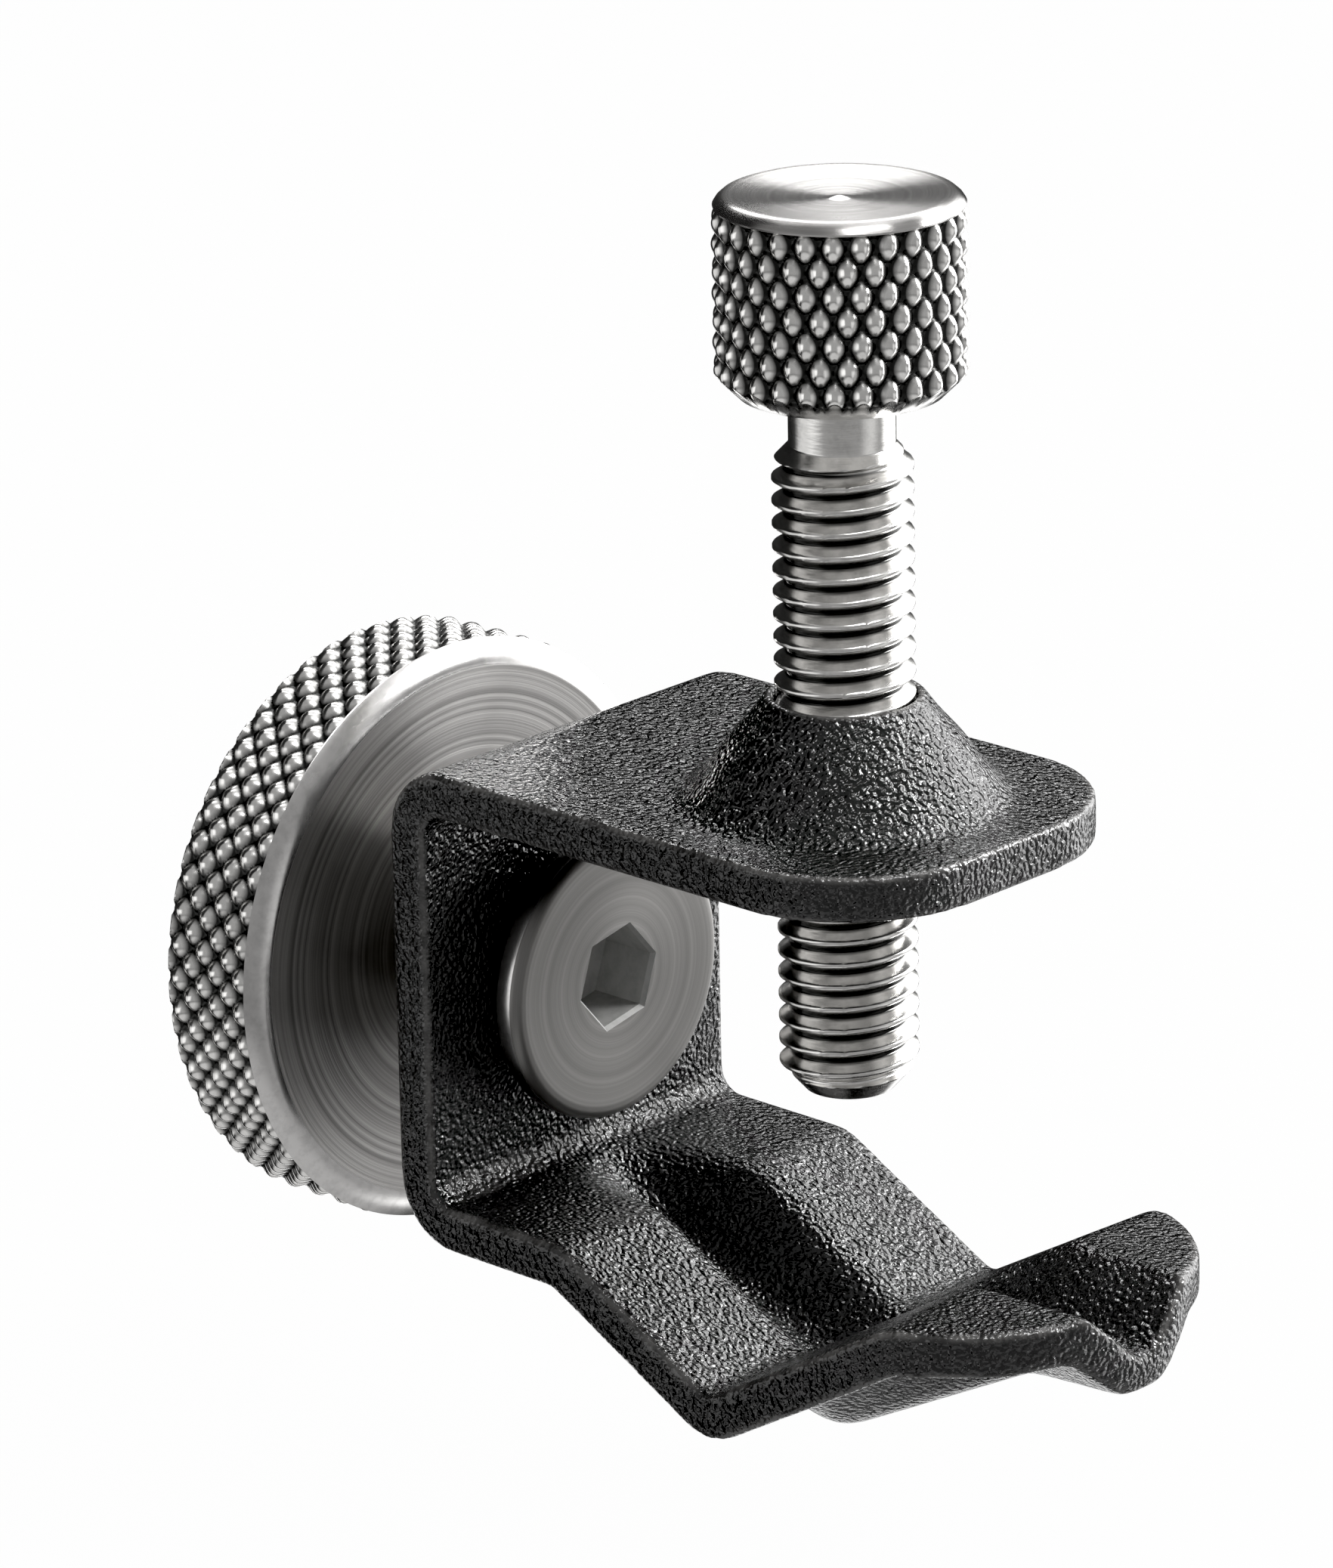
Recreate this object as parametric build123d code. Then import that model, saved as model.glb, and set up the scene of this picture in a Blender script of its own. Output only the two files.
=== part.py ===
from build123d import *
import math
import os

# Super clamp, light-duty pattern: a bent steel C bracket with a V jaw, a thumb
# screw coming down through a drawn boss, and a 3/8" accessory stud with a lock
# disc on the back of the web.  Threads and knurls are plain surfaces.
#
# Millimetres, +Z up along the clamp screw.  Origin on the axis of the
# accessory stud, in the plane an accessory seats against (the -X face of the
# friction washer).  +X runs from the accessory side to the tip of the jaw; the
# bracket is symmetric about Y = 0.

THREAD_R = 9.525 / 2          # 3/8" major radius, both screws
THREAD_BORE_R = THREAD_R + 0.06  # bores that run on a 3/8" thread

# ---------------------------------------------------------------- bracket ---
PLATE_T = 3.2
PLATE_HALF_W = 15.0
WEB_IN_X = 20.1               # face of the web on the jaw side
WEB_OUT_X = WEB_IN_X - PLATE_T
ARM_TOP_Z = 18.2
ARM_BOT_Z = ARM_TOP_Z - PLATE_T
ARM_END_X = 60.6
ARM_CORNER_R = 10.5           # front corners of the upper arm in plan
LOW_TOP_Z = -13.6             # flat of the lower jaw next to the web
LOW_BOT_Z = LOW_TOP_Z - PLATE_T
BEND_R_IN = 1.7
BEND_R_OUT = BEND_R_IN + PLATE_T
WEB_HOLE_R = THREAD_R + 0.12
SINK_CLEARANCE = 0.02         # along X, and on the small radius
SINK_RIM_CLEARANCE = 0.04     # on the large radius

# Lower jaw: V, tongue and the channel pressed down its middle
SCREW_X = 45.7                # clamp screw axis, also the bottom of the V
V_START_X = 32.1
V_BOTTOM_Z = -20.9
V_END_X = 61.1                # V comes back up to the tongue here
TONGUE_Z = -12.1
TONGUE_END_X = 72.1
JAW_TRIM = 3.0                # jaw is drawn this far past the tongue, then cut
JAW_OVERLAP = 1.2             # and starts this far behind the channel
JAW_SIDE_TRIM = 2.0
JAW_HEAP_TOP_Z = 0.0          # any level above the whole jaw
V_OUTER_R = 4.2               # bend radii of the V, outside and inside
V_INNER_R = 1.2
UPPER_BENDS = [0, V_OUTER_R, V_INNER_R, V_OUTER_R]
LOWER_BENDS = [0, V_INNER_R, V_OUTER_R, V_INNER_R]

GROOVE_START_X = 22.1
GROOVE_FULL_X = 27.6          # channel reaches full depth
GROOVE_DEPTH = 3.9
GROOVE_END_DEPTH = 2.9
GROOVE_END_SHIFT = 1.5        # its floor turns this far beyond V_END_X
GROOVE_FLOOR_T = 2.6          # the sheet thins where the channel is drawn
SHOULDER_RISE = 0.75          # tongue is crowned up to the channel shoulders
SHOULDER_START = 0.8          # share of that rise at V_END_X
GROOVE_TOP_HALF = 4.8         # half widths at the shoulders and the floor
GROOVE_FLOOR_HALF = 0.7
GROOVE_UNDER_SHIFT = PLATE_T * math.tan(math.radians(21))  # wider underneath

# Drawn boss round the clamp screw, and the funnel under it
BOSS_BASE_R = 10.9
BOSS_SKIRT_R = BOSS_BASE_R + 1.2
BOSS_ROOT_Z = ARM_TOP_Z - 1.5
BOSS_TOP_R = 5.2
BOSS_TOP_Z = 25.7
BOSS_CURVE = [                # (r, z) up the side
    (BOSS_SKIRT_R, ARM_TOP_Z),
    (BOSS_BASE_R - 0.15, ARM_TOP_Z + 0.55),
    (BOSS_BASE_R - 2.75, ARM_TOP_Z + 3.85),
    (BOSS_TOP_R + 0.3, BOSS_TOP_Z - 0.35),
]
BOSS_END_TANGENTS = [(-1, 0), (-0.62, 1)]
MOUTH_R = 8.6
MOUTH_Z = 18.6
MOUTH_CURVE = [               # (r, z) up the funnel
    (MOUTH_R, ARM_BOT_Z),
    (6.4, ARM_BOT_Z + 1.3),
    (THREAD_BORE_R, MOUTH_Z),
]

# ------------------------------------------------------------- stud screw ---
STUD_FACE_X = 24.1
STUD_HEAD_R = 10.3
STUD_HEAD_RIM = 1.9           # cylindrical rim before the 90 degree cone
STUD_HEAD_CHAMFER = 0.35
CONE_END_X = STUD_FACE_X - STUD_HEAD_RIM
CONE_START_X = CONE_END_X - (STUD_HEAD_R - THREAD_R)
STUD_LEN = 34.925             # 1-3/8"
STUD_TIP_X = STUD_FACE_X - STUD_LEN
STUD_TIP_CHAMFER = 1.0
STUD_INNER_R = 4.5            # reduced body inside the nut and the web
STUD_STEP = 0.2               # length of the taper at each end of that body
STUD_EXPOSED_X = 10.1         # major radius from here to the tip
RELIEF_R = 4.3                # narrow groove just inside the seat plane
RELIEF_X0 = 0.05
RELIEF_X1 = 0.65
SOCKET_AF = 6.35              # 1/4" hex key
SOCKET_TURN = 11              # degrees
SOCKET_DEPTH = 4.6
DRILL_POINT_R = 2.9
DRILL_POINT_L = 1.6
SOCKET_MOUTH_R = SOCKET_AF / 2 + 0.45
SOCKET_MOUTH_END_R = SOCKET_AF / 2 - 0.06
SOCKET_MOUTH_L = 0.5
FACE_OVERLAP = 0.01           # cutters pass the face they start on

# ------------------------------------------------------- washer, jam nut ---
WASHER_T = 1.2
WASHER_R = 8.6
WASHER_BORE_R = 5.2
NOTCH_COUNT = 10
NOTCH_R = 5.9                 # centre of each notch
NOTCH_W = 1.3
NOTCH_DEPTH = 2.2
NUT_AF = 14.2875              # 9/16" across flats
NUT_T = 5.4
NUT_FACE_R = NUT_AF / 2 - 0.1
NUT_CONE_R = NUT_AF / 2 / math.cos(math.pi / 6) + 0.35  # clears the corners
NUT_CONE_L = 1.1
NUT_BORE_R = 4.55
NUT_MOUTH_R = NUT_BORE_R + 0.6
NUT_MOUTH_L = 0.55

# -------------------------------------------------------------- lock disc ---
DISC_FACE_X = 9.1
DISC_BACK_X = 0.4
DISC_R = 21.2
DISC_FACE_R = 19.2
DISC_CHAMFER_X = 0.7
DISC_BACK_CHAMFER = 0.5
RECESS_R = 16.3
RECESS_X = 1.65
DISC_BORE_CHAMFER = 0.5
FRICTION_R = 16.0
FRICTION_BORE_R = 6.2
FRICTION_T = 1.6
FRICTION_CHAMFER = 0.3
FRICTION_BORE_CHAMFER = 0.2

# ------------------------------------------------------------ clamp screw ---
SCREW_TIP_Z = -2.5
SCREW_TIP_R = 3.1
SCREW_CHAMFER_Z = -0.6
SCREW_THREAD_TOP_Z = 42.3
SCREW_RUNOUT_Z = 43.1
NECK_R = 3.6
SHANK_R = 3.0                 # plain shank inside the head
SHANK_TOP_Z = 58.0
SHANK_CHAMFER = 0.4
HEAD_R = 8.5
HEAD_BOT_Z = 46.5
HEAD_TOP_Z = 60.1
HEAD_BOT_CHAMFER = 1.6
HEAD_TOP_CHAMFER = 0.8
HEAD_RIM_W = 0.5              # flat ring round the hollow top
HEAD_DISH = 0.35
HEAD_BORE_TOP_Z = SHANK_TOP_Z + 0.2

PIN_R = 1.5                   # pin of the thrust tip, and its bore
PIN_TOP_Z = 0.6
PIN_BORE_R = 1.55
PIN_BORE_TOP_Z = 0.9
PIN_BORE_POINT_L = 0.8
CAP_R = 2.1
CAP_H = 0.35
CAP_TOP_Z = SCREW_TIP_Z - 0.05


# ---------------------------------------------------------------- helpers ---
def lathe(points, plane, axis):
    """Polygon drawn on the plane and revolved about the axis."""
    with BuildPart() as turned:
        with BuildSketch(plane):
            Polygon(*points, align=None)
        revolve(axis=axis)
    return turned.part


def lathe_x(points, plane=Plane.XY):
    """Solid of revolution about X from (x, r) corners."""
    return lathe(points, plane, Axis.X)


def lathe_z(points):
    """Solid of revolution about Z from (r, z) corners."""
    return lathe(points, Plane.XZ, Axis.Z)


def hex_prism(x, across_flats, length, rotation):
    """Hexagonal prism along X, starting at x."""
    hexagon = RegularPolygon(across_flats / 2, 6, major_radius=False, rotation=rotation)
    plane = Plane(origin=(x, 0, 0), x_dir=(0, 1, 0), z_dir=(1, 0, 0))
    return extrude(plane * hexagon, length)


def dome_arc(rim_r, rim_z, depth):
    """Start, middle and end (r, z) of a spherical profile from rim down to axis."""
    ball_r = (rim_r ** 2 + depth ** 2) / (2 * depth)
    half_angle = math.asin(rim_r / ball_r) / 2
    low_z = rim_z - depth
    middle = (ball_r * math.sin(half_angle), low_z + ball_r * (1 - math.cos(half_angle)))
    return (rim_r, rim_z), middle, (0, low_z)


def chain(points, radii, y):
    """Edges of an (x, z) polyline in the plane Y=y, with tangent arcs at its corners."""
    corners = [Vector(px, y, pz) for px, pz in points]
    edges = []
    start = corners[0]
    for before, corner, after, radius in zip(corners, corners[1:], corners[2:], radii):
        if radius == 0:
            edges.append(Edge.make_line(start, corner))
            start = corner
            continue
        to_before = (before - corner).normalized()
        to_after = (after - corner).normalized()
        half_angle = math.radians(to_before.get_angle(to_after)) / 2
        setback = radius / math.tan(half_angle)
        arc_start = corner + to_before * setback
        arc_end = corner + to_after * setback
        bisector = (to_before + to_after).normalized()
        arc_middle = corner + bisector * (radius / math.sin(half_angle) - radius)
        edges.append(Edge.make_line(start, arc_start))
        edges.append(Edge.make_three_point_arc(arc_start, arc_middle, arc_end))
        start = arc_end
    edges.append(Edge.make_line(start, corners[-1]))
    return edges


def above(points, radii, y):
    """Outline in the plane Y=y of all between the chain and JAW_HEAP_TOP_Z."""
    (first_x, first_z), (last_x, last_z) = points[0], points[-1]
    first = Vector(first_x, y, first_z)
    last = Vector(last_x, y, last_z)
    first_top = Vector(first_x, y, JAW_HEAP_TOP_Z)
    last_top = Vector(last_x, y, JAW_HEAP_TOP_Z)
    return Wire(chain(points, radii, y) + [
        Edge.make_line(last, last_top),
        Edge.make_line(last_top, first_top),
        Edge.make_line(first_top, first),
    ])


def offset_down(points, distance):
    """Corners of the polyline moved down square to itself; the ends keep their X."""
    normals = []
    for (x0, z0), (x1, z1) in zip(points, points[1:]):
        length = math.hypot(x1 - x0, z1 - z0)
        normals.append(((z1 - z0) / length, (x0 - x1) / length))
    lowered = [(points[0][0], points[0][1] + distance / normals[0][1])]
    for (x, z), (ax, az), (bx, bz) in zip(points[1:-1], normals, normals[1:]):
        scale = distance / (1 + ax * bx + az * bz)
        lowered.append((x + (ax + bx) * scale, z + (az + bz) * scale))
    lowered.append((points[-1][0], points[-1][1] + distance / normals[-1][1]))
    return lowered


# ---------------------------------------------------------------- bracket ---
def arm_plan(length):
    """Strip in plan with two rounded corners at its +X end."""
    with BuildSketch() as plan:
        with BuildLine():
            side = Line((0, -PLATE_HALF_W), (length - ARM_CORNER_R, -PLATE_HALF_W))
            corner = RadiusArc(side @ 1, (length, -PLATE_HALF_W + ARM_CORNER_R),
                               -ARM_CORNER_R)
            front = Line(corner @ 1, (length, PLATE_HALF_W - ARM_CORNER_R))
            corner = RadiusArc(front @ 1, (length - ARM_CORNER_R, PLATE_HALF_W),
                               -ARM_CORNER_R)
            other_side = Line(corner @ 1, (0, PLATE_HALF_W))
            Line(other_side @ 1, side @ 0)
        make_face()
    return plan.sketch


def tongue_plan(length):
    """Strip in plan ending in a full round at +X."""
    straight = length - PLATE_HALF_W
    with BuildSketch() as plan:
        with BuildLine():
            side = Line((0, -PLATE_HALF_W), (straight, -PLATE_HALF_W))
            nose = ThreePointArc(side @ 1, (length, 0), (straight, PLATE_HALF_W))
            other_side = Line(nose @ 1, (0, PLATE_HALF_W))
            Line(other_side @ 1, side @ 0)
        make_face()
    return plan.sketch


def make_c_strip():
    """Upper arm, web and the start of the lower jaw."""
    stub_x = GROOVE_START_X
    far_x = ARM_END_X + 5
    y = -PLATE_HALF_W
    inner = chain([(stub_x, LOW_TOP_Z), (WEB_IN_X, LOW_TOP_Z),
                   (WEB_IN_X, ARM_BOT_Z), (far_x, ARM_BOT_Z)],
                  [BEND_R_IN, BEND_R_IN], y)
    outer = chain([(far_x, ARM_TOP_Z), (WEB_OUT_X, ARM_TOP_Z),
                   (WEB_OUT_X, LOW_BOT_Z), (stub_x, LOW_BOT_Z)],
                  [BEND_R_OUT, BEND_R_OUT], y)
    arm_end = Edge.make_line((far_x, y, ARM_BOT_Z), (far_x, y, ARM_TOP_Z))
    stub_end = Edge.make_line((stub_x, y, LOW_BOT_Z), (stub_x, y, LOW_TOP_Z))
    side = Face(Wire(inner + [arm_end] + outer + [stub_end]))
    strip = Solid.extrude(side, Vector(0, 2 * PLATE_HALF_W, 0))

    # Trim the arm to its plan, and keep all that lies below it.
    plan_x = WEB_OUT_X - 5
    arm_keep = Pos(plan_x, 0, ARM_BOT_Z - 1) * extrude(
        arm_plan(ARM_END_X - plan_x), PLATE_T + 2)
    low_keep = Pos(WEB_OUT_X + 20, 0, -5) * Box(60, 60, 39.5)
    return (strip & arm_keep) + (strip & low_keep)


def jaw_heap(edge, shoulder, floor, radii, shoulder_y, floor_y):
    """Everything above one skin of the jaw: floor slab, then two lofts a side."""
    slab = Solid.extrude(Face(above(floor, radii, -floor_y)), Vector(0, 2 * floor_y, 0))
    edge_y = PLATE_HALF_W + JAW_SIDE_TRIM
    lofts = []
    for side in (-1, 1):
        edge_wire = above(edge, radii, side * edge_y)
        shoulder_wire = above(shoulder, radii, side * shoulder_y)
        floor_wire = above(floor, radii, side * floor_y)
        lofts.append(Solid.make_loft([edge_wire, shoulder_wire], ruled=True))
        lofts.append(Solid.make_loft([shoulder_wire, floor_wire], ruled=True))
    return slab.fuse(*lofts)


def make_jaw():
    """V, tongue and channel: the heap above the underside less that above the top."""
    start_x = GROOVE_START_X - JAW_OVERLAP
    end_x = TONGUE_END_X + JAW_TRIM
    # (x, z) along the outer edge, the channel shoulder and the channel floor
    edge = [(start_x, LOW_TOP_Z), (GROOVE_START_X, LOW_TOP_Z),
            (V_START_X, LOW_TOP_Z), (SCREW_X, V_BOTTOM_Z),
            (V_END_X, TONGUE_Z), (end_x, TONGUE_Z)]
    shoulder = edge[:4] + [(V_END_X, TONGUE_Z + SHOULDER_RISE * SHOULDER_START),
                           (end_x, TONGUE_Z + SHOULDER_RISE)]
    floor = [(start_x, LOW_TOP_Z), (GROOVE_START_X, LOW_TOP_Z),
             (GROOVE_FULL_X, LOW_TOP_Z - GROOVE_DEPTH),
             (SCREW_X, V_BOTTOM_Z - GROOVE_DEPTH),
             (V_END_X + GROOVE_END_SHIFT, TONGUE_Z - GROOVE_DEPTH),
             (end_x, TONGUE_Z - GROOVE_END_DEPTH)]
    floor_low = offset_down(floor, GROOVE_FLOOR_T)
    # Behind the channel the sheet keeps its full thickness.
    for i in (0, 1):
        floor_low[i] = (floor_low[i][0], LOW_BOT_Z)

    upper = jaw_heap(edge, shoulder, floor, UPPER_BENDS,
                     GROOVE_TOP_HALF, GROOVE_FLOOR_HALF)
    lower = jaw_heap(offset_down(edge, PLATE_T), offset_down(shoulder, PLATE_T),
                     floor_low, LOWER_BENDS,
                     GROOVE_TOP_HALF + GROOVE_UNDER_SHIFT,
                     GROOVE_FLOOR_HALF + GROOVE_UNDER_SHIFT)
    jaw = lower.cut(upper)
    plan = Pos(GROOVE_START_X, 0, -45) * extrude(
        tongue_plan(TONGUE_END_X - GROOVE_START_X), 50)
    return plan & jaw


def make_boss():
    """Nearly straight cone with a tight root, on the Z axis."""
    with BuildPart() as boss:
        with BuildSketch(Plane.XZ):
            with BuildLine():
                Polyline((0, BOSS_ROOT_Z), (BOSS_SKIRT_R, BOSS_ROOT_Z), BOSS_CURVE[0])
                Spline(BOSS_CURVE, tangents=BOSS_END_TANGENTS)
                Polyline(BOSS_CURVE[-1], (BOSS_TOP_R - 0.05, BOSS_TOP_Z),
                         (0, BOSS_TOP_Z), (0, BOSS_ROOT_Z))
            make_face()
        revolve(axis=Axis.Z)
    return boss.part


def make_mouth():
    """Cutter for the funnel on the underside of the boss, on the Z axis."""
    low_z = ARM_BOT_Z - 1
    with BuildPart() as mouth:
        with BuildSketch(Plane.XZ):
            with BuildLine():
                Polyline((0, low_z), (MOUTH_R, low_z), MOUTH_CURVE[0])
                Spline(MOUTH_CURVE)
                Polyline(MOUTH_CURVE[-1], (0, MOUTH_Z), (0, low_z))
            make_face()
        revolve(axis=Axis.Z)
    return mouth.part


def make_frame():
    body = make_c_strip() + make_jaw()
    body = body + Pos(SCREW_X, 0, 0) * make_boss()
    body = body - Pos(SCREW_X, 0, 0) * make_mouth()
    body = body - Pos(SCREW_X, 0, 20) * Cylinder(THREAD_BORE_R, 30)

    # Countersink and hole in the web for the stud screw
    sink_x = CONE_END_X + SINK_CLEARANCE
    body = body - lathe_x([
        (CONE_START_X, 0), (CONE_START_X, THREAD_R + SINK_CLEARANCE),
        (sink_x, STUD_HEAD_R + SINK_RIM_CLEARANCE), (sink_x, 0)], Plane.XZ)
    return body - Pos(WEB_OUT_X, 0, 0) * Rot(0, 90, 0) * Cylinder(WEB_HOLE_R, 12)


# --------------------------------------------------------- stud and disc ---
def make_stud():
    body = lathe_x([
        (STUD_TIP_X, 0), (STUD_TIP_X, THREAD_R - STUD_TIP_CHAMFER),
        (STUD_TIP_X + STUD_TIP_CHAMFER, THREAD_R),
        (RELIEF_X0, THREAD_R), (RELIEF_X0, RELIEF_R),
        (RELIEF_X1, RELIEF_R), (RELIEF_X1, THREAD_R),
        (STUD_EXPOSED_X, THREAD_R), (STUD_EXPOSED_X + STUD_STEP, STUD_INNER_R),
        (CONE_START_X - STUD_STEP, STUD_INNER_R), (CONE_START_X, THREAD_R),
        (CONE_END_X, STUD_HEAD_R), (STUD_FACE_X - STUD_HEAD_CHAMFER, STUD_HEAD_R),
        (STUD_FACE_X, STUD_HEAD_R - STUD_HEAD_CHAMFER), (STUD_FACE_X, 0)])
    body = body - hex_prism(STUD_FACE_X, SOCKET_AF, -SOCKET_DEPTH, SOCKET_TURN)
    # Drill point under the socket, then the lead-in round its mouth
    floor_x = STUD_FACE_X - SOCKET_DEPTH
    body = body - lathe_x([
        (floor_x - DRILL_POINT_L, 0), (floor_x + FACE_OVERLAP, DRILL_POINT_R),
        (floor_x + FACE_OVERLAP, 0)])
    return body - lathe_x([
        (STUD_FACE_X + FACE_OVERLAP, 0), (STUD_FACE_X + FACE_OVERLAP, SOCKET_MOUTH_R),
        (STUD_FACE_X - SOCKET_MOUTH_L, SOCKET_MOUTH_END_R),
        (STUD_FACE_X - SOCKET_MOUTH_L, 0)])


def make_lock_washer():
    centre = Pos(WEB_OUT_X - WASHER_T / 2, 0, 0)
    ring = centre * Rot(0, 90, 0) * (
        Cylinder(WASHER_R, WASHER_T) - Cylinder(WASHER_BORE_R, WASHER_T + 1))
    # Notches from the bore leave internal teeth.
    for k in range(NOTCH_COUNT):
        turn = Rot(360 / NOTCH_COUNT * k, 0, 0)
        ring = ring - centre * turn * Pos(0, 0, NOTCH_R) * Box(
            WASHER_T + 1, NOTCH_W, NOTCH_DEPTH)
    return ring


def make_jam_nut():
    x1 = WEB_OUT_X - WASHER_T
    x0 = x1 - NUT_T
    nut = hex_prism(x0, NUT_AF, NUT_T, 0)
    nut = nut & lathe_x([
        (x0, 0), (x0, NUT_FACE_R), (x0 + NUT_CONE_L, NUT_CONE_R),
        (x1 - NUT_CONE_L, NUT_CONE_R), (x1, NUT_FACE_R), (x1, 0)])
    return nut - lathe_x([
        (x0 - 0.1, 0), (x0 - 0.1, NUT_MOUTH_R), (x0 + NUT_MOUTH_L, NUT_BORE_R),
        (x1 - NUT_MOUTH_L, NUT_BORE_R), (x1 + 0.1, NUT_MOUTH_R), (x1 + 0.1, 0)])


def make_disc():
    body = lathe_x([
        (DISC_BACK_X, 0), (DISC_BACK_X, DISC_R - DISC_BACK_CHAMFER),
        (DISC_BACK_X + DISC_BACK_CHAMFER, DISC_R),
        (DISC_FACE_X - DISC_CHAMFER_X, DISC_R),
        (DISC_FACE_X, DISC_FACE_R), (DISC_FACE_X, 0)])
    # Recess for the friction washer, then the bore with both ends chamfered
    body = body - lathe_x([
        (DISC_BACK_X - 1, 0), (DISC_BACK_X - 1, RECESS_R),
        (RECESS_X, RECESS_R), (RECESS_X, 0)])
    mouth_r = THREAD_BORE_R + DISC_BORE_CHAMFER
    return body - lathe_x([
        (RECESS_X - 1, 0), (RECESS_X - 1, mouth_r), (RECESS_X, mouth_r),
        (RECESS_X + DISC_BORE_CHAMFER, THREAD_BORE_R),
        (DISC_FACE_X - DISC_BORE_CHAMFER, THREAD_BORE_R),
        (DISC_FACE_X + 0.1, mouth_r + 0.1), (DISC_FACE_X + 0.1, 0)])


def make_friction():
    return lathe_x([
        (0, FRICTION_BORE_R + FRICTION_BORE_CHAMFER),
        (0, FRICTION_R - FRICTION_CHAMFER), (FRICTION_CHAMFER, FRICTION_R),
        (FRICTION_T, FRICTION_R), (FRICTION_T, FRICTION_BORE_R),
        (FRICTION_BORE_CHAMFER, FRICTION_BORE_R)])


# ------------------------------------------------------------ clamp screw ---
def make_screw():
    body = lathe_z([
        (0, SCREW_TIP_Z), (SCREW_TIP_R, SCREW_TIP_Z), (THREAD_R, SCREW_CHAMFER_Z),
        (THREAD_R, SCREW_THREAD_TOP_Z), (NECK_R, SCREW_RUNOUT_Z),
        (NECK_R, HEAD_BOT_Z), (SHANK_R, HEAD_BOT_Z),
        (SHANK_R, SHANK_TOP_Z - SHANK_CHAMFER),
        (SHANK_R - SHANK_CHAMFER, SHANK_TOP_Z), (0, SHANK_TOP_Z)])
    bore = lathe_z([
        (0, SCREW_TIP_Z - 1), (PIN_BORE_R, SCREW_TIP_Z - 1),
        (PIN_BORE_R, PIN_BORE_TOP_Z), (0, PIN_BORE_TOP_Z + PIN_BORE_POINT_L)])
    return Pos(SCREW_X, 0, 0) * (body - bore)


def make_head():
    top_r = HEAD_R - HEAD_TOP_CHAMFER
    dish = dome_arc(top_r - HEAD_RIM_W, HEAD_TOP_Z, HEAD_DISH)
    with BuildPart() as head:
        with BuildSketch(Plane.XZ):
            with BuildLine():
                Polyline((0, HEAD_BOT_Z), (HEAD_R - HEAD_BOT_CHAMFER, HEAD_BOT_Z),
                         (HEAD_R, HEAD_BOT_Z + HEAD_BOT_CHAMFER),
                         (HEAD_R, HEAD_TOP_Z - HEAD_TOP_CHAMFER),
                         (top_r, HEAD_TOP_Z), dish[0])
                ThreePointArc(*dish)
                Line(dish[-1], (0, HEAD_BOT_Z))
            make_face()
        revolve(axis=Axis.Z)
    body = head.part - lathe_z([
        (0, HEAD_BOT_Z - 1), (SHANK_R, HEAD_BOT_Z - 1),
        (SHANK_R, HEAD_BORE_TOP_Z), (0, HEAD_BORE_TOP_Z)])
    return Pos(SCREW_X, 0, 0) * body


def make_tip():
    dome = dome_arc(CAP_R, CAP_TOP_Z, CAP_H)
    with BuildPart() as tip:
        with BuildSketch(Plane.XZ):
            with BuildLine():
                Polyline((0, PIN_TOP_Z), (PIN_R, PIN_TOP_Z), (PIN_R, CAP_TOP_Z), dome[0])
                ThreePointArc(*dome)
                Line(dome[-1], (0, PIN_TOP_Z))
            make_face()
        revolve(axis=Axis.Z)
    return Pos(SCREW_X, 0, 0) * tip.part


PARTS = {
    "clamp_frame": make_frame,
    "stud_screw": make_stud,
    "lock_washer": make_lock_washer,
    "jam_nut": make_jam_nut,
    "lock_disc": make_disc,
    "friction_washer": make_friction,
    "clamp_screw": make_screw,
    "thumb_head": make_head,
    "thrust_tip": make_tip,
}

os.makedirs("parts", exist_ok=True)
for name, make in PARTS.items():
    # The largest solid is the piece; any sliver left by a boolean is not written.
    piece = max(make().solids(), key=lambda solid: solid.volume)
    export_step(piece, f"parts/{name}.step")
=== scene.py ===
"""Small screw clamp on a pale floor.

A wrinkle-painted bracket carries two threaded parts. The clamp screw stands along Z at
x = SCREW_X, y = 0, with a knurled thumb head on top. The stud lies along X through the
origin, its socket head towards +X, and a knurled lock disc runs on its thread.
Sizes are in millimetres and are turned into metres as each mesh is made; lights, camera
and shader distances are in metres.
"""
import math
from contextlib import contextmanager

import bmesh
import bpy
import numpy as np
from mathutils import Matrix, Vector


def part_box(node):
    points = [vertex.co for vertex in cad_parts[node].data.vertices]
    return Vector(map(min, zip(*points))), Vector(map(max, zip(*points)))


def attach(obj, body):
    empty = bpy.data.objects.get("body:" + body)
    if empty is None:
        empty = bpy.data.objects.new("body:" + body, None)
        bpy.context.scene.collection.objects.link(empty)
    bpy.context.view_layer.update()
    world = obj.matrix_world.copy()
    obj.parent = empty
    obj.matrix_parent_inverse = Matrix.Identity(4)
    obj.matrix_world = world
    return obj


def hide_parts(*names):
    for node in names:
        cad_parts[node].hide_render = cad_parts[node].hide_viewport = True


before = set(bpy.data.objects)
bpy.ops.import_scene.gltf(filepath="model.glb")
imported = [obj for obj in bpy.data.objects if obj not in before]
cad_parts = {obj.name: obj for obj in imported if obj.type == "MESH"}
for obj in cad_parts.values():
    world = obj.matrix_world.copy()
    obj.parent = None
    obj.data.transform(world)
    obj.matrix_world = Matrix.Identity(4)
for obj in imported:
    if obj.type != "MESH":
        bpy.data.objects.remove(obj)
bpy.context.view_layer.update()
scene = bpy.context.scene
MM = 0.001


# -------------------------------------------------------------- dimensions ---
def box_mm(name):
    low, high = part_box(name)
    return np.array(low) * 1000.0, np.array(high) * 1000.0


HEAD_LOW, HEAD_HIGH = box_mm("thumb_head")
SCREW_LOW, SCREW_HIGH = box_mm("clamp_screw")
STUD_LOW, STUD_HIGH = box_mm("stud_screw")
DISC_LOW, DISC_HIGH = box_mm("lock_disc")

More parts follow.
